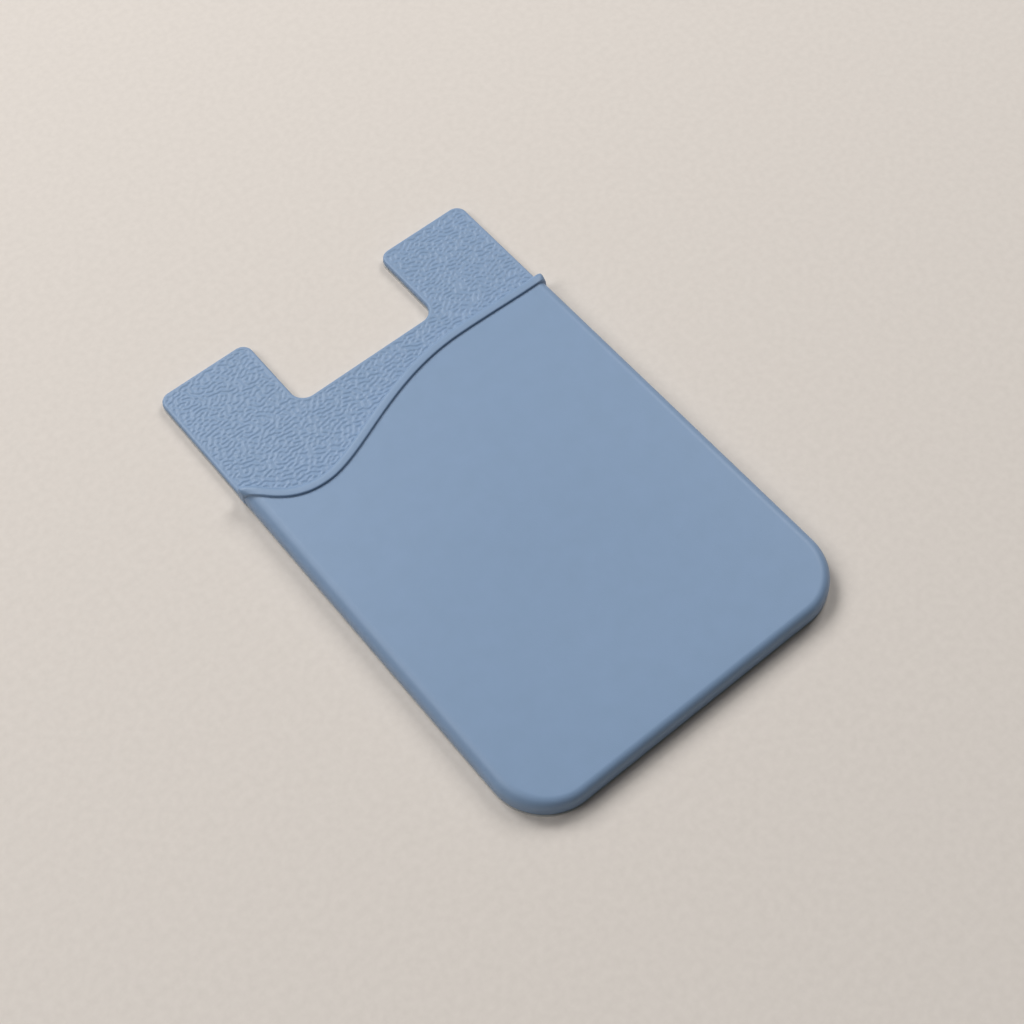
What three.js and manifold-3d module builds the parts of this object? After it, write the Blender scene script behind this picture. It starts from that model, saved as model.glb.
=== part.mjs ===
// Stick-on card holder for the back of a phone: one moulded silicone pocket,
// the adhesive sheet on its back, and the paper liner that covers the adhesive.
// Millimetres. The liner lies on z = 0, the front panel faces +Z, and cards slide in from +Y.

import * as THREE from 'three';
import { mergeVertices } from 'three/addons/utils/BufferGeometryUtils.js';
import Module from 'manifold-3d';

// The bank card that the pocket is made for, and the room that it gets
const CARD_WIDTH = 54;
const CARD_LENGTH = 85.6;
const CARD_THICKNESS = 0.76;
const CARD_SIDE_CLEARANCE = 0.2;
const CARD_FACE_CLEARANCE = 0.4;

// Silicone
const SIDE_WALL = 1.3;
const PLATE_THICKNESS = 1;
const PANEL_THICKNESS = 0.9;
const EAR_PAST_CARD = 1.4;

// Corners of the outline, seen from the front
const BOTTOM_CORNER_RADIUS = 8.5;
const EAR_CORNER_RADIUS = 1.8;

// Thumb notch between the ears
const NOTCH_WIDTH = 25.2;
const NOTCH_DEPTH = 14.3;
const NOTCH_CORNER_RADIUS = 2.3;

// Rounded edges, seen in section
const SHOULDER_RADIUS = 1.9;
const BOTTOM_SHOULDER_RADIUS = 1.3;
const PLATE_EDGE_RADIUS = 0.35;
const FOOT_RADIUS = 0.2;
const SLOT_EDGE_RADIUS = 0.6;

// Mouth of the pocket: how far each place on its edge lies below the end of the ears,
// and how far its lowest place and its crest lie in from the sides
const MOUTH_LEFT_END = 22.05;
const MOUTH_LOW = 28.5;
const MOUTH_LOW_FROM_LEFT = 10.4;
const MOUTH_CREST = 20.6;
const MOUTH_CREST_FROM_RIGHT = 16.4;
const MOUTH_RIGHT_END = 20.9;

// How far the mouth's curve runs level past the named places before it turns
const LEFT_END_REACH = 3.1;
const LOW_REACH_LEFT = 7.3;
const LOW_REACH_RIGHT = 6.7;
const CREST_REACH_LEFT = 13.9;
const CREST_REACH_RIGHT = 6;
const RIGHT_END_REACH = 5;

// Raised bead along the mouth. Over the shoulders its edge towards the ears has squarer corners than they
// have: 2 would be round. Round the corners it flattens by the share that is given last.
const BEAD_WIDTH = 1.5;
const BEAD_HEIGHT = 0.4;
const BEAD_EDGE_RADIUS = 0.15;
const BEAD_ABOVE_FOOT = 0.2;
const BEAD_SQUARENESS = 9;
const BEAD_WALL_FADE = 0.6;

// Adhesive and liner
const ADHESIVE_THICKNESS = 0.2;
const ADHESIVE_INSET = 0.6;
const LINER_THICKNESS = 0.15;
const LINER_OVERHANG = 0.1;

// Smoothness
const CORNER_SEGMENTS = 16;
const SHOULDER_SEGMENTS = 8;
const EDGE_SEGMENTS = 4;
const MOUTH_SEGMENTS = 24;
const WRAP_SEGMENTS = 6;

// Sizes and levels that follow
const HALF_WIDTH = CARD_WIDTH / 2 + CARD_SIDE_CLEARANCE + SIDE_WALL;
const HALF_LENGTH = (CARD_LENGTH + SIDE_WALL + EAR_PAST_CARD) / 2;
const LINER_TOP = LINER_THICKNESS;
const BACK = LINER_TOP + ADHESIVE_THICKNESS;
const PLATE_TOP = BACK + PLATE_THICKNESS;
const SLOT_TOP = PLATE_TOP + CARD_THICKNESS + CARD_FACE_CLEARANCE;
const PANEL_TOP = SLOT_TOP + PANEL_THICKNESS;

// No rounding takes more than this share of the wall, slot or plate that it rounds
const ROUNDING_SHARE = 0.45;
const foot = Math.min(FOOT_RADIUS, ROUNDING_SHARE * PLATE_THICKNESS);
const plateEdge = Math.min(PLATE_EDGE_RADIUS, ROUNDING_SHARE * PLATE_THICKNESS);
const slotEdge = Math.min(SLOT_EDGE_RADIUS, SLOT_TOP - PLATE_TOP);
const shoulder = Math.min(SHOULDER_RADIUS, PANEL_TOP - BACK - foot);
const bottomShoulder = Math.min(BOTTOM_SHOULDER_RADIUS, shoulder);
const beadEdge = Math.min(BEAD_EDGE_RADIUS, BEAD_HEIGHT, ROUNDING_SHARE * BEAD_WIDTH);

const wasm = await Module();
wasm.setup();

// A closed three.js geometry as a solid that can be joined and cut
function toSolid(geometry) {
  const bare = geometry.clone();
  bare.deleteAttribute('normal');
  bare.deleteAttribute('uv');
  const merged = mergeVertices(bare);
  const mesh = new wasm.Mesh({
    numProp: 3,
    vertProperties: new Float32Array(merged.attributes.position.array),
    triVerts: new Uint32Array(merged.index.array),
  });
  return new wasm.Manifold(mesh);
}

// A solid back as a three.js geometry with flat-shaded faces
function toGeometry(solid) {
  const mesh = solid.getMesh();
  const indexed = new THREE.BufferGeometry();
  indexed.setAttribute('position', new THREE.BufferAttribute(mesh.vertProperties, mesh.numProp));
  indexed.setIndex(new THREE.BufferAttribute(mesh.triVerts, 1));
  const geometry = indexed.toNonIndexed();
  geometry.computeVertexNormals();
  return geometry;
}

// The points of a closed outline, without the last one where it repeats the first
function outlinePoints(shape) {
  const points = shape.getPoints(CORNER_SEGMENTS / 2);
  const closes = points[0].distanceTo(points[points.length - 1]) < 1e-6;
  return closes ? points.slice(0, -1) : points;
}

// An outer corner keeps a trace of its radius where an inset would use it up
function insetRadius(radius, inset) {
  return Math.max(radius - inset, ROUNDING_SHARE * radius);
}

// Outline of the plate and its sheets: round bottom corners, two ears, and the notch between them.
// The inset moves every side into the material, and a negative one moves it out.
function plateOutline(inset) {
  const side = HALF_WIDTH - inset;
  const end = HALF_LENGTH - inset;
  const notchSide = NOTCH_WIDTH / 2 + inset;
  const notchEnd = HALF_LENGTH - NOTCH_DEPTH - inset;
  const bottom = insetRadius(BOTTOM_CORNER_RADIUS, inset);
  const ear = insetRadius(EAR_CORNER_RADIUS, inset);
  const notch = NOTCH_CORNER_RADIUS + inset;
  const quarter = Math.PI / 2;
  const shape = new THREE.Shape();
  shape.moveTo(-side + bottom, -end);
  shape.absarc(side - bottom, -end + bottom, bottom, -quarter, 0);
  shape.absarc(side - ear, end - ear, ear, 0, quarter);
  shape.absarc(notchSide + ear, end - ear, ear, quarter, 2 * quarter);
  shape.absarc(notchSide - notch, notchEnd + notch, notch, 0, -quarter, true);
  shape.absarc(-notchSide + notch, notchEnd + notch, notch, -quarter, -2 * quarter, true);
  shape.absarc(-notchSide - ear, end - ear, ear, 0, quarter);
  shape.absarc(-side + ear, end - ear, ear, quarter, 2 * quarter);
  shape.absarc(-side + bottom, -end + bottom, bottom, 2 * quarter, 3 * quarter);
  return outlinePoints(shape);
}

// Outline of the pocket and of the slot inside it: round bottom corners and an open, square end.
// The bottom may have an inset of its own, which makes the corners elliptical.
function pocketOutline(inset, bottomInset = inset) {
  const side = HALF_WIDTH - inset;
  const across = insetRadius(BOTTOM_CORNER_RADIUS, inset);
  const along = insetRadius(BOTTOM_CORNER_RADIUS, bottomInset);
  const low = -HALF_LENGTH + bottomInset + along;
  const quarter = Math.PI / 2;
  const shape = new THREE.Shape();
  shape.moveTo(side, HALF_LENGTH);
  shape.lineTo(-side, HALF_LENGTH);
  shape.absellipse(-side + across, low, across, along, 2 * quarter, 3 * quarter);
  shape.absellipse(side - across, low, across, along, 3 * quarter, 4 * quarter);
  return outlinePoints(shape);
}

// Closed body through a stack of outlines that all have as many points
function stackedBody(layers) {
  const count = layers[0].outline.length;
  const positions = layers.flatMap(({ outline, z }) => outline.flatMap((p) => [p.x, p.y, z]));
  const cap = THREE.ShapeUtils.triangulateShape(layers[0].outline, []);
  const top = (layers.length - 1) * count;
  const index = [];
  for (const [a, b, c] of cap) {
    index.push(a, c, b);
    index.push(top + a, top + b, top + c);
  }
  for (let layer = 0; layer < layers.length - 1; layer += 1) {
    for (let i = 0; i < count; i += 1) {
      const a = layer * count + i;
      const b = layer * count + (i + 1) % count;
      index.push(a, b, b + count);
      index.push(a, b + count, a + count);
    }
  }
  const geometry = new THREE.BufferGeometry();
  geometry.setAttribute('position', new THREE.Float32BufferAttribute(positions, 3));
  geometry.setIndex(index);
  return geometry;
}

// Layers of a quarter-round edge: outwards as it rises at a foot, inwards as it rises at a top
function footLayers(outlineAt, z, radius, segments) {
  const layers = [];
  for (let i = 0; i <= segments; i += 1) {
    const angle = (i / segments) * Math.PI / 2;
    const inset = radius * (1 - Math.sin(angle));
    layers.push({ outline: outlineAt(inset), z: z + radius * (1 - Math.cos(angle)) });
  }
  return layers;
}

function topLayers(outlineAt, z, radius, segments) {
  const layers = [];
  for (let i = 0; i <= segments; i += 1) {
    const angle = (i / segments) * Math.PI / 2;
    const inset = radius * (1 - Math.cos(angle));
    const drop = radius * (1 - Math.sin(angle));
    layers.push({ outline: outlineAt(inset, drop), z: z - drop });
  }
  return layers;
}

// Back plate with its two ears
function backPlate() {
  return stackedBody([
    ...footLayers(plateOutline, BACK, foot, EDGE_SEGMENTS),
    ...topLayers(plateOutline, PLATE_TOP, plateEdge, EDGE_SEGMENTS),
  ]);
}

// How far a quarter-round edge lies in at a depth below its top
function roundInset(radius, drop) {
  const rise = Math.max(radius - drop, 0);
  return radius - Math.sqrt(radius ** 2 - rise ** 2);
}

// The pocket before it is hollowed: flat panel, round shoulders, upright side walls
function pocketDome() {
  const footOutline = (inset) => pocketOutline(inset);
  const shoulderOutline = (inset, drop) => pocketOutline(inset, roundInset(bottomShoulder, drop));
  return stackedBody([
    ...footLayers(footOutline, BACK, foot, EDGE_SEGMENTS),
    ...topLayers(shoulderOutline, PANEL_TOP, shoulder, SHOULDER_SEGMENTS),
  ]);
}

// The space for the cards, open at the mouth
function cardSlot() {
  const slotOutline = (inset) => pocketOutline(SIDE_WALL + inset);
  return stackedBody([
    { outline: slotOutline(0), z: PLATE_TOP },
    ...topLayers(slotOutline, SLOT_TOP, slotEdge, EDGE_SEGMENTS),
  ]);
}

// The dome's skin unrolled: u runs across the panel, round the shoulder and down the side wall.
// The point lies on or below the skin, or lifted off it on to the bead. A power over 2 squares the corner.
const FLAT_HALF = HALF_WIDTH - shoulder;
const WALL_START = FLAT_HALF + shoulder * Math.PI / 2;
const BEAD_DROP = PANEL_TOP - shoulder - BACK - BEAD_ABOVE_FOOT;

function onDome(u, y, lift, power) {
  const side = u < 0 ? -1 : 1;
  const angle = THREE.MathUtils.clamp((Math.abs(u) - FLAT_HALF) / shoulder, 0, Math.PI / 2);
  const down = Math.max(Math.abs(u) - WALL_START, 0);
  const squared = (Math.sin(angle) ** power + Math.cos(angle) ** power) ** (1 / power);
  const rise = lift > 0 ? lift * (1 - BEAD_WALL_FADE * angle * 2 / Math.PI) : lift;
  const reach = (shoulder + rise) / squared;
  const x = Math.min(Math.abs(u), FLAT_HALF) + reach * Math.sin(angle);
  const z = PANEL_TOP - shoulder + reach * Math.cos(angle) - down;
  return new THREE.Vector3(side * x, y, z);
}

// Edge of the mouth on the unrolled skin, from one wall over the panel to the other
function mouthPoints() {
  const fromEnd = (distance) => HALF_LENGTH - distance;
  const wallEnd = WALL_START + BEAD_DROP;
  const lowX = -HALF_WIDTH + MOUTH_LOW_FROM_LEFT;
  const crestX = HALF_WIDTH - MOUTH_CREST_FROM_RIGHT;
  const at = (x, distance) => new THREE.Vector2(x, fromEnd(distance));
  const leftTurn = new THREE.CubicBezierCurve(
    at(-WALL_START, MOUTH_LEFT_END),
    at(-WALL_START + LEFT_END_REACH, MOUTH_LEFT_END),
    at(lowX - LOW_REACH_LEFT, MOUTH_LOW),
    at(lowX, MOUTH_LOW),
  );
  const rise = new THREE.CubicBezierCurve(
    at(lowX, MOUTH_LOW),
    at(lowX + LOW_REACH_RIGHT, MOUTH_LOW),
    at(crestX - CREST_REACH_LEFT, MOUTH_CREST),
    at(crestX, MOUTH_CREST),
  );
  const rightRun = new THREE.CubicBezierCurve(
    at(crestX, MOUTH_CREST),
    at(crestX + CREST_REACH_RIGHT, MOUTH_CREST),
    at(FLAT_HALF - RIGHT_END_REACH, MOUTH_RIGHT_END),
    at(FLAT_HALF, MOUTH_RIGHT_END),
  );
  const rightWrap = new THREE.LineCurve(rightRun.v3, at(WALL_START, MOUTH_RIGHT_END));
  return [
    at(-wallEnd, MOUTH_LEFT_END),
    ...leftTurn.getPoints(MOUTH_SEGMENTS),
    ...rise.getPoints(MOUTH_SEGMENTS).slice(1),
    ...rightRun.getPoints(MOUTH_SEGMENTS / 2).slice(1),
    ...rightWrap.getPoints(WRAP_SEGMENTS).slice(1),
    at(wallEnd, MOUTH_RIGHT_END),
  ];
}

// A place beside the edge of the mouth, towards the ears, and lifted off the dome's skin
function besideMouth(path, i, across, lift) {
  const before = path[Math.max(i - 1, 0)];
  const after = path[Math.min(i + 1, path.length - 1)];
  const along = after.clone().sub(before).normalize();
  const share = THREE.MathUtils.clamp(0.5 + across / BEAD_WIDTH, 0, 1);
  const power = lift > 0 ? THREE.MathUtils.lerp(2, BEAD_SQUARENESS, share) : 2;
  return onDome(path[i].x - along.y * across, path[i].y + along.x * across, lift, power);
}

// Everything past the mouth's edge, upright through the dome; the bead covers the cut
function pastMouth() {
  const path = mouthPoints();
  const cut = path.map((_, i) => besideMouth(path, i, BEAD_WIDTH / 4, 0)).slice(1, -1);
  const outside = HALF_WIDTH + SIDE_WALL;
  const beyond = HALF_LENGTH + SIDE_WALL;
  const shape = new THREE.Shape();
  shape.moveTo(-outside, cut[0].y);
  cut.forEach((p) => shape.lineTo(p.x, p.y));
  shape.lineTo(outside, cut[cut.length - 1].y);
  shape.lineTo(outside, beyond);
  shape.lineTo(-outside, beyond);
  const depth = PANEL_TOP + LINER_THICKNESS;
  return new THREE.ExtrudeGeometry(shape, { depth, bevelEnabled: false });
}

// Section of the bead: across the edge of the mouth, and up from below the dome's skin
function beadSection() {
  const half = BEAD_WIDTH / 2;
  const root = Math.min(PANEL_THICKNESS + slotEdge, 0.9 * shoulder);
  const shape = new THREE.Shape();
  shape.moveTo(-half, -root);
  shape.lineTo(half, -root);
  shape.absarc(half - beadEdge, BEAD_HEIGHT - beadEdge, beadEdge, 0, Math.PI / 2);
  shape.absarc(-half + beadEdge, BEAD_HEIGHT - beadEdge, beadEdge, Math.PI / 2, Math.PI);
  return shape.getPoints(EDGE_SEGMENTS / 2);
}

// Two triangles between four corners, split along the shorter diagonal
function splitQuad(points, a, b, c, d) {
  const straight = points[a].distanceTo(points[c]) <= points[b].distanceTo(points[d]);
  return straight ? [a, b, c, a, c, d] : [a, b, d, b, c, d];
}

// The bead follows the mouth over both shoulders and ends in a nub on each side wall
function mouthBead() {
  const path = mouthPoints();
  const section = beadSection();
  const points = path.flatMap((_, i) => section.map((s) => besideMouth(path, i, s.x, s.y)));
  const positions = points.flatMap((p) => p.toArray());
  const count = section.length;
  const last = (path.length - 1) * count;
  const cap = THREE.ShapeUtils.triangulateShape(section, []);
  const index = [];
  for (const [a, b, c] of cap) {
    index.push(a, c, b);
    index.push(last + a, last + b, last + c);
  }
  for (let station = 0; station < path.length - 1; station += 1) {
    for (let i = 0; i < count; i += 1) {
      const a = station * count + i;
      const b = station * count + (i + 1) % count;
      index.push(...splitQuad(points, a, b, b + count, a + count));
    }
  }
  const geometry = new THREE.BufferGeometry();
  geometry.setAttribute('position', new THREE.Float32BufferAttribute(positions, 3));
  geometry.setIndex(index);
  return geometry;
}

// The whole moulding: the dome is cut at its mouth, gets its bead, is hollowed, and joins the plate
function cardPocket() {
  const solid = toSolid(pocketDome())
    .subtract(toSolid(pastMouth()))
    .add(toSolid(mouthBead()))
    .subtract(toSolid(cardSlot()))
    .add(toSolid(backPlate()));
  return toGeometry(solid);
}

// A flat sheet of the plate's outline
function sheet(inset, low, high) {
  const outline = plateOutline(inset);
  return stackedBody([{ outline, z: low }, { outline, z: high }]);
}

function siliconeMaterial() {
  return new THREE.MeshStandardMaterial({ color: 0x8399b5, roughness: 0.62, metalness: 0 });
}

function adhesiveMaterial() {
  return new THREE.MeshStandardMaterial({ color: 0xd9d8d2, roughness: 0.35, metalness: 0 });
}

function linerMaterial() {
  return new THREE.MeshStandardMaterial({ color: 0xeceae5, roughness: 0.55, metalness: 0 });
}

function part(name, geometry, material) {
  const mesh = new THREE.Mesh(geometry, material);
  mesh.name = name;
  return mesh;
}

const group = new THREE.Group();
group.add(part('card_pocket', cardPocket(), siliconeMaterial()));
group.add(part('adhesive_sheet', sheet(ADHESIVE_INSET, LINER_TOP, BACK), adhesiveMaterial()));
group.add(part('release_liner', sheet(-LINER_OVERHANG, 0, LINER_TOP), linerMaterial()));

export default group;
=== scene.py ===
import math

import bpy
import numpy as np
from mathutils import Matrix, Vector
from mathutils.geometry import delaunay_2d_cdt
from mathutils.kdtree import KDTree


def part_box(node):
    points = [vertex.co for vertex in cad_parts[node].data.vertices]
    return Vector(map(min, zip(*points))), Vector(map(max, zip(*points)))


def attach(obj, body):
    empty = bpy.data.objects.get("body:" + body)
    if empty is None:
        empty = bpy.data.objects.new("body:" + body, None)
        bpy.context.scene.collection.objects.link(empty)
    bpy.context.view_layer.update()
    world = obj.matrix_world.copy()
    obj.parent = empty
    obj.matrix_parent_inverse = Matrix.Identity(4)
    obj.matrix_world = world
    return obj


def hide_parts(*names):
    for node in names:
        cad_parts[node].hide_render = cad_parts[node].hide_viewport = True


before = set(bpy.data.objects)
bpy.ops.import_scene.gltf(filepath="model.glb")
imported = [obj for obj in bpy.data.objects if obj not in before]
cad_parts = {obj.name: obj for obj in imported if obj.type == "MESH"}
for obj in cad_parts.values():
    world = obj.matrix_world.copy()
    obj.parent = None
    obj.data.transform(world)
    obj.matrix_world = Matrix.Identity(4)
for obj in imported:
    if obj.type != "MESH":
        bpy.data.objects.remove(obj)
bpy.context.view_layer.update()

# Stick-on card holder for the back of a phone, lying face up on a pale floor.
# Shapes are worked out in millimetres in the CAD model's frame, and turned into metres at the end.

MM = 0.001

# Silicone: sizes that the boxes of the CAD nodes don't give. The bead's edge towards the ears is an
# elliptical round, and its edge towards the panel a round with a fillet at its foot.
BEAD_HEIGHT = 0.4
BEAD_WIDTH = 1.5
BEAD_EAR_REACH = 0.65
BEAD_EAR_DROP = 0.36
BEAD_PANEL_RADIUS = 0.24
BEAD_FILLET = 0.14
BEAD_ABOVE_FOOT = 0.2
BEAD_SQUARENESS = 9      # power of the bead's corner over the shoulder, at the ears' side
BEAD_WALL_FADE = 0.62    # share of its height that the bead loses on the walls
BEAD_ROOT_SHARE = 0.8    # how deep the bead is rooted in the shell, as a share of the shoulder
SIDE_WALL = 1.3
PLATE_THICKNESS = 1
PANEL_THICKNESS = 0.9
BOTTOM_CORNER_RADIUS = 8.5
EAR_CORNER_RADIUS = 1.8
NOTCH_WIDTH = 25.2
NOTCH_DEPTH = 14.3
NOTCH_CORNER_RADIUS = 2.3
SHOULDER_RADIUS = 1.9
BOTTOM_SHOULDER_RADIUS = 1.3
PLATE_EDGE_RADIUS = 0.35
FOOT_RADIUS = 0.2
SLOT_EDGE_RADIUS = 0.6
LINER_OVERHANG = 0.1

# Mouth of the pocket: distances below the end of the ears, and in from the sides
MOUTH_LEFT_END = 22.05
MOUTH_LOW = 28.5
MOUTH_LOW_FROM_LEFT = 10.4
MOUTH_CREST = 20.6
MOUTH_CREST_FROM_RIGHT = 16.4
MOUTH_RIGHT_END = 20.9

# How far the mouth's curve runs level past the named places before it turns
LEFT_END_REACH = 3.1
LOW_REACH_LEFT = 7.3
LOW_REACH_RIGHT = 6.7
CREST_REACH_LEFT = 13.9
CREST_REACH_RIGHT = 6
RIGHT_END_REACH = 5

# The panel over the empty slot sags a little, most near its lower end
SAG_DEPTH = 0.22
SAG_CENTRE_Y = -22
SAG_REACH_X = 24
SAG_REACH_Y = 21

# Leather grain on the front of the plate: a labyrinth of low ridges, longer across the holder
GRAIN_DEPTH = 0.085
GRAIN_PITCH_X = 1
GRAIN_PITCH_Y = 0.7
GRAIN_SPREAD = 0.42      # how far the waves' lengths differ, as a share of the pitch
GRAIN_TURNS = 4
GRAIN_GAIN = 2
GRAIN_RIM = 0.1
GRAIN_FADE = 0.4
GRAIN_STEP = 0.13
GRAIN_BELOW_MOUTH = 3
GRAIN_SEED = 5

# Smoothness of the meshes
CORNER_SEGMENTS = 40
SHOULDER_SEGMENTS = 20
EDGE_SEGMENTS = 6
MOUTH_SEGMENTS = 90
WRAP_SEGMENTS = 12
PANEL_STEP = 1.2
RIM_STEP = 0.3
CREASE_ANGLE = 50
FILL_PRECISION = 1e-7

# Camera, light and floor: millimetres, degrees for the roll
CAMERA_PLACE = (-72.12, -104.26, 215.0)
CAMERA_AIM = (-0.01, -4.24, 0)
CAMERA_ROLL = -3.85
CAMERA_LENS = 61.08
CAMERA_SENSOR = 36
CAMERA_NEAR = 10
LIGHT_DISTANCE = 1000
LIGHT_SIZE = 450
WORLD_STRENGTH = 0.1
FLOOR_HALF = 2000


def box_in_mm(node):
    low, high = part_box(node)
    return low / MM, high / MM


# Levels and reaches that follow from the CAD model
pocket_low, pocket_high = box_in_mm("card_pocket")
HALF_WIDTH = box_in_mm("release_liner")[1].x - LINER_OVERHANG
HALF_LENGTH = pocket_high.y
BACK = pocket_low.z
PLATE_TOP = BACK + PLATE_THICKNESS
PANEL_TOP = pocket_high.z - BEAD_HEIGHT
SLOT_TOP = PANEL_TOP - PANEL_THICKNESS
FLAT_HALF = HALF_WIDTH - SHOULDER_RADIUS
WALL_START = FLAT_HALF + SHOULDER_RADIUS * math.pi / 2
BEAD_DROP = PANEL_TOP - SHOULDER_RADIUS - BACK - BEAD_ABOVE_FOOT


def smoothstep(low, high, value):
    t = np.clip((value - low) / (high - low), 0, 1)
    return t * t * (3 - 2 * t)


def arc(x, y, radius, start, end):
    """Points of a quarter arc about x, y; start and end count quarter turns.

    A pair of radii, across and along, makes it elliptical.
    """
    angle = np.linspace(start, end, CORNER_SEGMENTS + 1) * math.pi / 2
    return np.stack([np.cos(angle), np.sin(angle)], 1) * radius + (x, y)


def plate_outline(inset):
    """Outline of the plate: round bottom corners, two ears and the notch between them."""
    side = HALF_WIDTH - inset
    end = HALF_LENGTH - inset
    notch_side = NOTCH_WIDTH / 2 + inset
    notch_end = HALF_LENGTH - NOTCH_DEPTH - inset
    bottom = BOTTOM_CORNER_RADIUS - inset
    ear = EAR_CORNER_RADIUS - inset
    notch = NOTCH_CORNER_RADIUS + inset
    return np.concatenate([
        arc(side - bottom, -end + bottom, bottom, -1, 0),
        arc(side - ear, end - ear, ear, 0, 1),
        arc(notch_side + ear, end - ear, ear, 1, 2),
        arc(notch_side - notch, notch_end + notch, notch, 0, -1),
        arc(-notch_side + notch, notch_end + notch, notch, -1, -2),
        arc(-notch_side - ear, end - ear, ear, 0, 1),
        arc(-side + ear, end - ear, ear, 1, 2),
        arc(-side + bottom, -end + bottom, bottom, 2, 3),
    ])


def pocket_outline(inset, bottom_inset=None):
    """Outline of the pocket and of its slot: round bottom corners and an open, square end.

    The bottom may have an inset of its own, which makes the corners elliptical.
    """
    if bottom_inset is None:
        bottom_inset = inset
    side = HALF_WIDTH - inset
    centre_x = HALF_WIDTH - BOTTOM_CORNER_RADIUS
    centre_y = -HALF_LENGTH + BOTTOM_CORNER_RADIUS
    radii = (BOTTOM_CORNER_RADIUS - inset, BOTTOM_CORNER_RADIUS - bottom_inset)
    return np.concatenate([
        [(side, HALF_LENGTH), (-side, HALF_LENGTH)],
        arc(-centre_x, centre_y, radii, 2, 3),
        arc(centre_x, centre_y, radii, 3, 4),
    ])


def split_sides(outline, counts):
    """The outline with each side cut into as many equal lengths as counts says."""
    after = np.roll(outline, -1, axis=0)
    sides = zip(outline, after, counts)
    return np.concatenate([a + (b - a) * np.arange(n)[:, None] / n for a, b, n in sides])


def side_counts(outline, step):
    """Into how many lengths of at most a step each side of the outline is cut."""
    after = np.roll(outline, -1, axis=0)
    length = np.linalg.norm(after - outline, axis=1)
    return np.maximum(np.ceil(length / step), 1).astype(int)


def fill(outline, inner=()):
    """Triangles across a closed outline and through inner points, which count after its own."""
    points = [Vector(p) for p in outline] + [Vector(p) for p in inner]
    found = delaunay_2d_cdt(points, [], [list(range(len(outline)))], 1, FILL_PRECISION)
    source = [origin[0] for origin in found[3]]
    return [[source[i] for i in face] for face in found[2]]


def stacked_body(layers, top_inner=(), top_height=None):
    """Closed body through outlines with as many points each; its top may have a relief."""
    count = len(layers[0][0])
    rings = [np.column_stack([outline, np.full(count, z)]) for outline, z in layers]
    top = layers[-1][0]
    start = (len(layers) - 1) * count
    faces = [[i for i in reversed(face)] for face in fill(layers[0][0])]
    faces += [[start + i for i in face] for face in fill(top, top_inner)]
    for layer in range(len(layers) - 1):
        for i in range(count):
            a = layer * count + i
            b = layer * count + (i + 1) % count
            faces.append([a, b, b + count, a + count])
    if len(top_inner):
        rings.append(np.column_stack([top_inner, top_height]))
    return np.concatenate(rings), faces


def foot_layers(outline_at, z, radius):
    """Layers of a quarter-round edge that widens as it rises."""
    layers = []
    for angle in np.linspace(0, math.pi / 2, EDGE_SEGMENTS + 1):
        inset = radius * (1 - math.sin(angle))
        layers.append((outline_at(inset), z + radius * (1 - math.cos(angle))))
    return layers


def top_layers(outline_at, z, radius, segments):
    """Layers of a quarter-round edge that narrows as it rises."""
    layers = []
    for angle in np.linspace(0, math.pi / 2, segments + 1):
        inset = radius * (1 - math.cos(angle))
        drop = radius * (1 - math.sin(angle))
        layers.append((outline_at(inset, drop), z - drop))
    return layers


def round_inset(radius, drop):
    """How far a quarter-round edge lies in at a depth below its top."""
    rise = max(radius - drop, 0)
    return radius - math.sqrt(radius ** 2 - rise ** 2)


def staggered_grid(low, high, step):
    """Points in staggered rows, the shape that gives even triangles."""
    row_step = step * math.sqrt(3) / 2
    rows = np.arange(low[1], high[1], row_step)
    columns = np.arange(low[0], high[0], step)
    x, y = np.meshgrid(columns, rows)
    x = x + np.where(np.arange(len(rows)) % 2, step / 2, 0)[:, None]
    return np.column_stack([x.ravel(), y.ravel()])


def inside(points, outline):
    """Which points lie within a closed outline."""
    result = np.zeros(len(points), bool)
    for a, b in zip(outline, np.roll(outline, -1, axis=0)):
        if a[1] == b[1]:
            continue
        spans = (a[1] > points[:, 1]) != (b[1] > points[:, 1])
        crossing = a[0] + (points[:, 1] - a[1]) * (b[0] - a[0]) / (b[1] - a[1])
        result ^= spans & (points[:, 0] < crossing)
    return result


def rim_distance(points, outline, step):
    """Distance of each point from an outline."""
    rim = split_sides(outline, side_counts(outline, step))
    tree = KDTree(len(rim))
    for i, p in enumerate(rim):
        tree.insert((p[0], p[1], 0), i)
    tree.balance()
    return np.array([tree.find((p[0], p[1], 0))[2] for p in points])


def grain_field(cell, low, high):
    """Seeded labyrinth of ridges on a square grid, from -1 in the valleys to 1 on the ridges.

    Noise is held to waves of about one length and squashed, a few times in turn.
    """
    columns = math.ceil((high[0] - low[0]) / cell) + 2
    rows = math.ceil((high[1] - low[1]) / cell) + 2
    field = np.random.default_rng(GRAIN_SEED).normal(size=(rows, columns))
    across = np.fft.fftfreq(columns, cell) * GRAIN_PITCH_X
    along = np.fft.fftfreq(rows, cell)[:, None] * GRAIN_PITCH_Y
    ring = np.exp(-((np.hypot(across, along) - 1) / GRAIN_SPREAD) ** 2 / 2)
    for _ in range(GRAIN_TURNS):
        field = np.fft.ifft2(np.fft.fft2(field) * ring).real
        field = np.tanh(GRAIN_GAIN * field / field.std())
    return field


def sampled(field, cell, low, points):
    """The field between its grid's places, at each point."""
    place = (points - low) / cell
    base = np.floor(place).astype(int)
    part = place - base
    column, row = base[:, 0], base[:, 1]
    across, along = part[:, 0], part[:, 1]
    near = field[row, column] * (1 - across) + field[row, column + 1] * across
    far = field[row + 1, column] * (1 - across) + field[row + 1, column + 1] * across
    return near * (1 - along) + far * along


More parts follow.
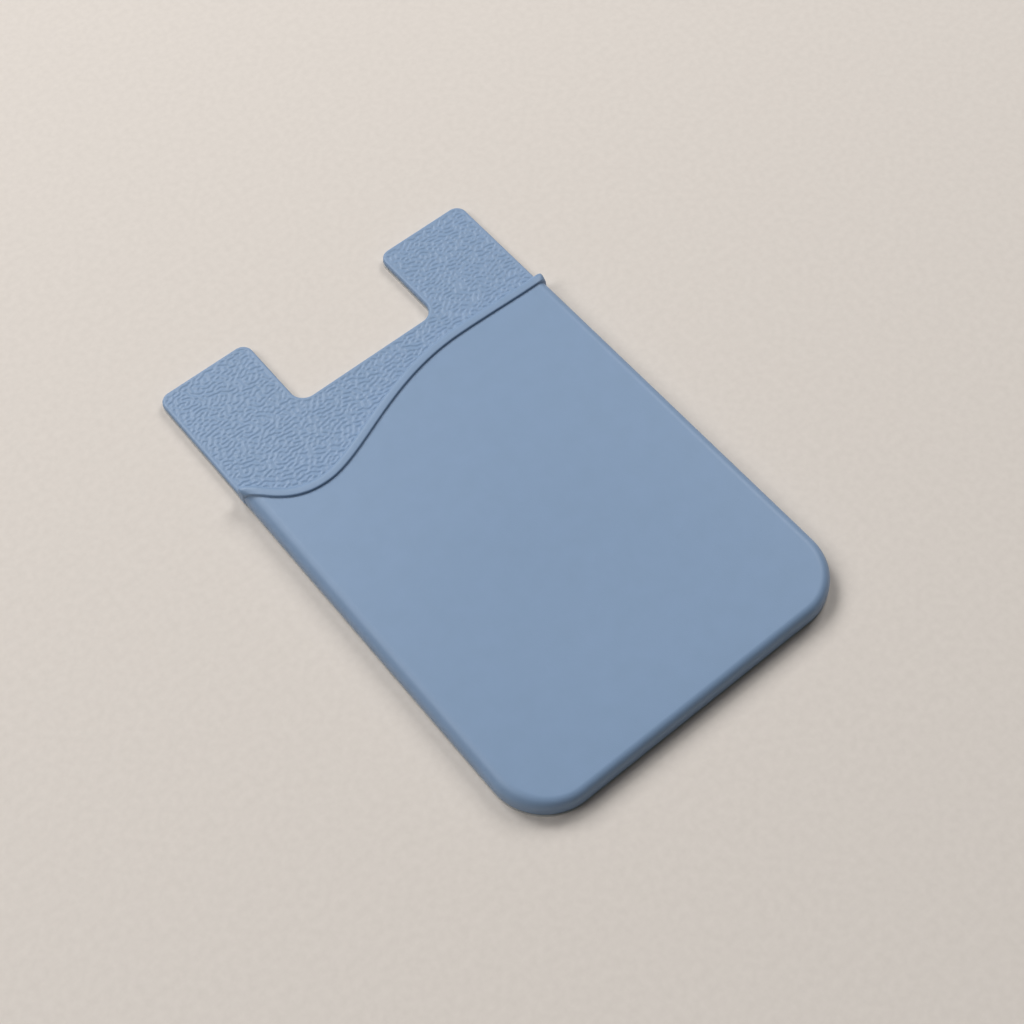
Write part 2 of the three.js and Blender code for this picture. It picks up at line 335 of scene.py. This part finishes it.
def grain_relief(points, distance):
    """How far the grain lies below the plate's top, zero on the smooth rim."""
    low = points.min(axis=0)
    cell = GRAIN_STEP / 2
    ridges = sampled(grain_field(cell, low, points.max(axis=0)), cell, low, points)
    return GRAIN_DEPTH * (1 - ridges) / 2 * smoothstep(0, GRAIN_FADE, distance - GRAIN_RIM)


def bezier(a, b, c, d, segments):
    """Points of a cubic curve from a to d, steered by b and c."""
    t = np.linspace(0, 1, segments + 1)[:, None]
    a, b, c, d = (np.array(p) for p in (a, b, c, d))
    s = 1 - t
    return s ** 3 * a + 3 * s ** 2 * t * b + 3 * s * t ** 2 * c + t ** 3 * d


def mouth_path():
    """Edge of the mouth on the unrolled skin, from one wall over the panel to the other."""
    def at(x, distance):
        return (x, HALF_LENGTH - distance)
    wall_end = WALL_START + BEAD_DROP
    low_x = -HALF_WIDTH + MOUTH_LOW_FROM_LEFT
    crest_x = HALF_WIDTH - MOUTH_CREST_FROM_RIGHT
    left_turn = bezier(
        at(-WALL_START, MOUTH_LEFT_END),
        at(-WALL_START + LEFT_END_REACH, MOUTH_LEFT_END),
        at(low_x - LOW_REACH_LEFT, MOUTH_LOW),
        at(low_x, MOUTH_LOW),
        MOUTH_SEGMENTS,
    )
    rise = bezier(
        at(low_x, MOUTH_LOW),
        at(low_x + LOW_REACH_RIGHT, MOUTH_LOW),
        at(crest_x - CREST_REACH_LEFT, MOUTH_CREST),
        at(crest_x, MOUTH_CREST),
        MOUTH_SEGMENTS,
    )
    right_run = bezier(
        at(crest_x, MOUTH_CREST),
        at(crest_x + CREST_REACH_RIGHT, MOUTH_CREST),
        at(FLAT_HALF - RIGHT_END_REACH, MOUTH_RIGHT_END),
        at(FLAT_HALF, MOUTH_RIGHT_END),
        MOUTH_SEGMENTS // 2,
    )
    wrap = np.linspace(FLAT_HALF, WALL_START, WRAP_SEGMENTS + 1)
    right_wrap = np.array([at(x, MOUTH_RIGHT_END) for x in wrap])
    start = [at(-wall_end, MOUTH_LEFT_END)]
    finish = [at(wall_end, MOUTH_RIGHT_END)]
    return np.concatenate([start, left_turn, rise[1:], right_run[1:], right_wrap[1:], finish])


def on_dome(u, y, lift, power):
    """Where a place on the unrolled skin lies: across the panel, round the shoulder, down the wall.

    A lift carries it off the skin on to the bead. A power over 2 squares the corner.
    """
    far = np.abs(u)
    angle = np.clip((far - FLAT_HALF) / SHOULDER_RADIUS, 0, math.pi / 2)
    down = np.maximum(far - WALL_START, 0)
    squared = (np.sin(angle) ** power + np.cos(angle) ** power) ** (1 / power)
    rise = lift * (1 - BEAD_WALL_FADE * angle * 2 / math.pi) if lift > 0 else lift
    reach = (SHOULDER_RADIUS + rise) / squared
    x = np.minimum(far, FLAT_HALF) + reach * np.sin(angle)
    z = PANEL_TOP - SHOULDER_RADIUS + reach * np.cos(angle) - down
    return np.stack([np.sign(u) * x, y, z], -1)


def beside_mouth(path, across, lift):
    """Places beside the mouth's edge, lifted off the skin; across is positive towards the ears."""
    before = np.concatenate([path[:1], path[:-1]])
    after = np.concatenate([path[1:], path[-1:]])
    along = after - before
    along /= np.linalg.norm(along, axis=1)[:, None]
    share = np.clip(0.5 + across / BEAD_WIDTH, 0, 1)
    power = 2 + (BEAD_SQUARENESS - 2) * share if lift > 0 else 2
    u = path[:, 0] - along[:, 1] * across
    return on_dome(u, path[:, 1] + along[:, 0] * across, lift, power)


def past_mouth():
    """Everything past the mouth's edge, upright through the dome; the bead covers the cut."""
    cut = beside_mouth(mouth_path(), BEAD_WIDTH / 4, 0)[1:-1, :2]
    outside = HALF_WIDTH + SIDE_WALL
    beyond = HALF_LENGTH + SIDE_WALL
    outline = np.concatenate([
        [(-outside, beyond), (-outside, cut[0][1])],
        cut,
        [(outside, cut[-1][1]), (outside, beyond)],
    ])
    return stacked_body([(outline, 0), (outline, PANEL_TOP + BEAD_HEIGHT)])


def bead_section():
    """Section of the bead: across the mouth's edge, and up from below the dome's skin.

    The panel's radius and the fillet together stay under the height, or two points would meet.
    """
    half = BEAD_WIDTH / 2
    root = -BEAD_ROOT_SHARE * SHOULDER_RADIUS
    angle = np.linspace(0, math.pi / 2, EDGE_SEGMENTS + 1)
    turn = np.stack([np.cos(angle), np.sin(angle)], 1)
    panel = BEAD_PANEL_RADIUS
    ears_centre = (half - BEAD_EAR_REACH, BEAD_HEIGHT - BEAD_EAR_DROP)
    ears_side = turn * (BEAD_EAR_REACH, BEAD_EAR_DROP) + ears_centre
    panel_side = panel * turn[::-1] * (-1, 1) + (-half + panel, BEAD_HEIGHT - panel)
    fillet_x = -half - BEAD_FILLET * (1 - np.cos(angle))
    fillet_y = BEAD_FILLET * (1 - np.sin(angle))
    fillet = np.stack([fillet_x, fillet_y], 1)
    foot = [(-half - BEAD_FILLET, root), (half, root)]
    return np.concatenate([foot, ears_side, panel_side, fillet])


def mouth_bead():
    """The bead follows the mouth over both shoulders and ends in a nub on each side wall."""
    path = mouth_path()
    section = bead_section()
    stations = np.stack([beside_mouth(path, across, lift) for across, lift in section], 1)
    count = len(section)
    last = (len(path) - 1) * count
    cap = fill(section)
    faces = [[i for i in reversed(face)] for face in cap]
    faces += [[last + i for i in face] for face in cap]
    for station in range(len(path) - 1):
        for i in range(count):
            a = station * count + i
            b = station * count + (i + 1) % count
            faces.append([a, b, b + count, a + count])
    return stations.reshape(-1, 3), faces


def past_mouth_edge(points):
    """How far each point lies past the mouth's edge, towards the ears."""
    mouth = mouth_path()
    return points[:, 1] - np.interp(points[:, 0], mouth[:, 0], mouth[:, 1])


def grained_top():
    """Points over the grained part of the plate's front, and how deep the grain is at each."""
    rim = plate_outline(PLATE_EDGE_RADIUS)
    low_end = HALF_LENGTH - MOUTH_LOW - GRAIN_BELOW_MOUTH
    grid = staggered_grid((-HALF_WIDTH, low_end), (HALF_WIDTH, HALF_LENGTH), GRAIN_STEP)
    grid = grid[(past_mouth_edge(grid) > -GRAIN_BELOW_MOUTH) & inside(grid, rim)]
    distance = rim_distance(grid, rim, GRAIN_STEP)
    keep = distance > GRAIN_STEP / 2
    grid, distance = grid[keep], distance[keep]
    shown = smoothstep(-GRAIN_BELOW_MOUTH, -GRAIN_BELOW_MOUTH / 2, past_mouth_edge(grid))
    return grid, grain_relief(grid, distance) * shown


def back_plate():
    """Back plate with its two ears and the grain on its front."""
    counts = side_counts(plate_outline(0), RIM_STEP)
    def outline_at(inset, _=0):
        return split_sides(plate_outline(inset), counts)
    layers = foot_layers(outline_at, BACK, FOOT_RADIUS)
    layers += top_layers(outline_at, PLATE_TOP, PLATE_EDGE_RADIUS, EDGE_SEGMENTS)
    grid, depth = grained_top()
    return stacked_body(layers, grid, PLATE_TOP - depth)


def panel_sag(points):
    """How far the panel lies below its rim at each point."""
    across = points[:, 0] / SAG_REACH_X
    along = (points[:, 1] - SAG_CENTRE_Y) / SAG_REACH_Y
    bowl = np.clip(1 - across ** 2, 0, 1) ** 2 * np.clip(1 - along ** 2, 0, 1) ** 2
    return SAG_DEPTH * bowl


def pocket_dome():
    """The pocket before it is hollowed: panel, round shoulders, upright side walls."""
    def shoulder_outline(inset, drop):
        return pocket_outline(inset, round_inset(BOTTOM_SHOULDER_RADIUS, drop))
    layers = foot_layers(pocket_outline, BACK, FOOT_RADIUS)
    layers += top_layers(shoulder_outline, PANEL_TOP, SHOULDER_RADIUS, SHOULDER_SEGMENTS)
    rim = pocket_outline(SHOULDER_RADIUS, BOTTOM_SHOULDER_RADIUS)
    grid = staggered_grid((-HALF_WIDTH, -HALF_LENGTH), (HALF_WIDTH, HALF_LENGTH), PANEL_STEP)
    grid = grid[inside(grid, rim)]
    grid = grid[rim_distance(grid, rim, PANEL_STEP / 2) > PANEL_STEP / 2]
    return stacked_body(layers, grid, PANEL_TOP - panel_sag(grid))


def card_slot():
    """The space for the cards, open at the mouth and down into the plate, which closes it again."""
    def slot_outline(inset, _=0):
        return pocket_outline(SIDE_WALL + inset)
    low = (BACK + PLATE_TOP) / 2
    layers = [(slot_outline(0), low)]
    layers += top_layers(slot_outline, SLOT_TOP, SLOT_EDGE_RADIUS, EDGE_SEGMENTS)
    return stacked_body(layers)


def new_object(name, shape):
    vertices, faces = shape
    mesh = bpy.data.meshes.new(name)
    mesh.from_pydata([tuple(v) for v in vertices], [], faces)
    mesh.update()
    result = bpy.data.objects.new(name, mesh)
    bpy.context.scene.collection.objects.link(result)
    return result


def combined(name, base, steps):
    """One mesh from a base shape and the shapes that are joined to it or cut from it, in order."""
    body = new_object(name, base)
    tools = []
    for operation, shape in steps:
        tool = new_object("tool", shape)
        tools.append(tool)
        change = body.modifiers.new(operation, "BOOLEAN")
        change.operation = operation
        change.object = tool
        change.solver = "MANIFOLD"
    graph = bpy.context.evaluated_depsgraph_get()
    mesh = bpy.data.meshes.new_from_object(body.evaluated_get(graph))
    for spare in [body] + tools:
        spare_mesh = spare.data
        bpy.data.objects.remove(spare)
        bpy.data.meshes.remove(spare_mesh)
    mesh.name = name
    result = bpy.data.objects.new(name, mesh)
    bpy.context.scene.collection.objects.link(result)
    return result


def finish_mesh(piece):
    """Millimetres become metres, curved faces shade smoothly and flat ones stay flat."""
    piece.data.transform(Matrix.Scale(MM, 4))
    piece.data.shade_smooth()
    piece.data.set_sharp_from_angle(angle=math.radians(CREASE_ANGLE))
    even = piece.modifiers.new("even_normals", "WEIGHTED_NORMAL")
    even.keep_sharp = True


def card_pocket():
    steps = [
        ("DIFFERENCE", past_mouth()),
        ("UNION", mouth_bead()),
        ("DIFFERENCE", card_slot()),
        ("UNION", back_plate()),
    ]
    piece = combined("silicone_pocket", pocket_dome(), steps)
    finish_mesh(piece)
    return piece


def linear(red, green, blue):
    """A colour written in display values from 0 to 255, as the shader takes it."""
    def one(value):
        value /= 255
        return value / 12.92 if value <= 0.04045 else ((value + 0.055) / 1.055) ** 2.4
    return (one(red), one(green), one(blue), 1)


def new_material(name):
    material = bpy.data.materials.new(name)
    material.use_nodes = True
    return material, material.node_tree.nodes, material.node_tree.links


def noise(nodes, links, scale, detail):
    """Noise on the object's own coordinates, in waves per metre."""
    place = nodes.new("ShaderNodeTexCoord")
    texture = nodes.new("ShaderNodeTexNoise")
    texture.inputs["Scale"].default_value = scale
    texture.inputs["Detail"].default_value = detail
    links.new(place.outputs["Object"], texture.inputs["Vector"])
    return texture


def varied_colour(nodes, links, texture, dark, light):
    ramp = nodes.new("ShaderNodeValToRGB")
    first, last = ramp.color_ramp.elements
    first.position, first.color = 0.3, dark
    last.position, last.color = 0.7, light
    links.new(texture.outputs["Fac"], ramp.inputs["Fac"])
    links.new(ramp.outputs["Color"], nodes["Principled BSDF"].inputs["Base Color"])


def varied_roughness(nodes, links, texture, low, high):
    spread = nodes.new("ShaderNodeMapRange")
    spread.inputs["To Min"].default_value = low
    spread.inputs["To Max"].default_value = high
    links.new(texture.outputs["Fac"], spread.inputs["Value"])
    links.new(spread.outputs["Result"], nodes["Principled BSDF"].inputs["Roughness"])


def bump(nodes, links, texture, distance):
    relief = nodes.new("ShaderNodeBump")
    relief.inputs["Strength"].default_value = 1
    relief.inputs["Distance"].default_value = distance
    links.new(texture.outputs["Fac"], relief.inputs["Height"])
    links.new(relief.outputs["Normal"], nodes["Principled BSDF"].inputs["Normal"])


def silicone_material():
    material, nodes, links = new_material("silicone")
    shader = nodes["Principled BSDF"]
    shader.inputs["Specular IOR Level"].default_value = 0.5
    clouds = noise(nodes, links, scale=300, detail=3)
    varied_colour(nodes, links, clouds, dark=linear(124, 149, 179), light=linear(126, 151, 182))
    shine = noise(nodes, links, scale=900, detail=2)
    varied_roughness(nodes, links, shine, low=0.42, high=0.5)
    bump(nodes, links, noise(nodes, links, scale=5000, detail=3), distance=0.000012)
    return material


def liner_material():
    material, nodes, links = new_material("liner_paper")
    shader = nodes["Principled BSDF"]
    shader.inputs["Specular IOR Level"].default_value = 0.4
    clouds = noise(nodes, links, scale=400, detail=4)
    varied_colour(nodes, links, clouds, dark=linear(188, 187, 184), light=linear(198, 197, 194))
    shine = noise(nodes, links, scale=900, detail=2)
    varied_roughness(nodes, links, shine, low=0.45, high=0.6)
    bump(nodes, links, noise(nodes, links, scale=3000, detail=4), distance=0.00001)
    return material


def adhesive_material():
    material, nodes, links = new_material("adhesive")
    clouds = noise(nodes, links, scale=300, detail=2)
    varied_colour(nodes, links, clouds, dark=linear(212, 211, 204), light=linear(222, 221, 215))
    shine = noise(nodes, links, scale=700, detail=2)
    varied_roughness(nodes, links, shine, low=0.3, high=0.42)
    bump(nodes, links, noise(nodes, links, scale=1500, detail=2), distance=0.00002)
    return material


def floor_material():
    material, nodes, links = new_material("floor")
    shader = nodes["Principled BSDF"]
    shader.inputs["Specular IOR Level"].default_value = 0.2
    shader.inputs["Roughness"].default_value = 0.9
    clouds = noise(nodes, links, scale=900, detail=3)
    varied_colour(nodes, links, clouds, dark=linear(216, 208, 200), light=linear(221, 213, 205))
    return material


def make_floor():
    half = FLOOR_HALF
    corners = [(-half, -half, 0), (half, -half, 0), (half, half, 0), (-half, half, 0)]
    floor = new_object("floor", (corners, [[0, 1, 2, 3]]))
    floor.data.transform(Matrix.Scale(MM, 4))
    floor.data.materials.append(floor_material())


def soft_light(name, azimuth, elevation, power):
    """A square soft light that faces the holder, placed by degrees from +X and degrees up."""
    turn, lift = math.radians(azimuth), math.radians(elevation)
    flat = math.cos(lift)
    place = Vector((flat * math.cos(turn), flat * math.sin(turn), math.sin(lift)))
    data = bpy.data.lights.new(name, "AREA")
    data.size = LIGHT_SIZE * MM
    data.energy = power
    lamp = bpy.data.objects.new(name, data)
    lamp.location = place * LIGHT_DISTANCE * MM
    lamp.rotation_euler = (-place).to_track_quat("-Z", "Y").to_euler()
    bpy.context.scene.collection.objects.link(lamp)


def make_lights():
    soft_light("back", azimuth=94, elevation=47, power=5.5)
    soft_light("left", azimuth=150, elevation=46, power=3.1)
    soft_light("right", azimuth=20, elevation=43, power=3.9)
    world = bpy.data.worlds.new("studio")
    world.use_nodes = True
    background = world.node_tree.nodes["Background"]
    background.inputs["Color"].default_value = (1, 1, 1, 1)
    background.inputs["Strength"].default_value = WORLD_STRENGTH
    bpy.context.scene.world = world


def make_camera():
    data = bpy.data.cameras.new("camera")
    data.lens = CAMERA_LENS
    data.sensor_width = CAMERA_SENSOR
    data.clip_start = CAMERA_NEAR * MM
    camera = bpy.data.objects.new("camera", data)
    place = Vector(CAMERA_PLACE) * MM
    direction = Vector(CAMERA_AIM) * MM - place
    turn = direction.to_track_quat("-Z", "Y").to_matrix().to_4x4()
    roll = Matrix.Rotation(math.radians(CAMERA_ROLL), 4, "Z")
    camera.matrix_world = Matrix.Translation(place) @ turn @ roll
    bpy.context.scene.collection.objects.link(camera)
    bpy.context.scene.camera = camera


bpy.context.scene.view_settings.view_transform = "Standard"
make_camera()
make_lights()
make_floor()

pocket = card_pocket()
pocket.data.materials.clear()
pocket.data.materials.append(silicone_material())
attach(pocket, "root")
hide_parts("card_pocket")

sheets = {"adhesive_sheet": adhesive_material(), "release_liner": liner_material()}
for node, material in sheets.items():
    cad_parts[node].data.materials.clear()
    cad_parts[node].data.materials.append(material)

bpy.context.view_layer.update()
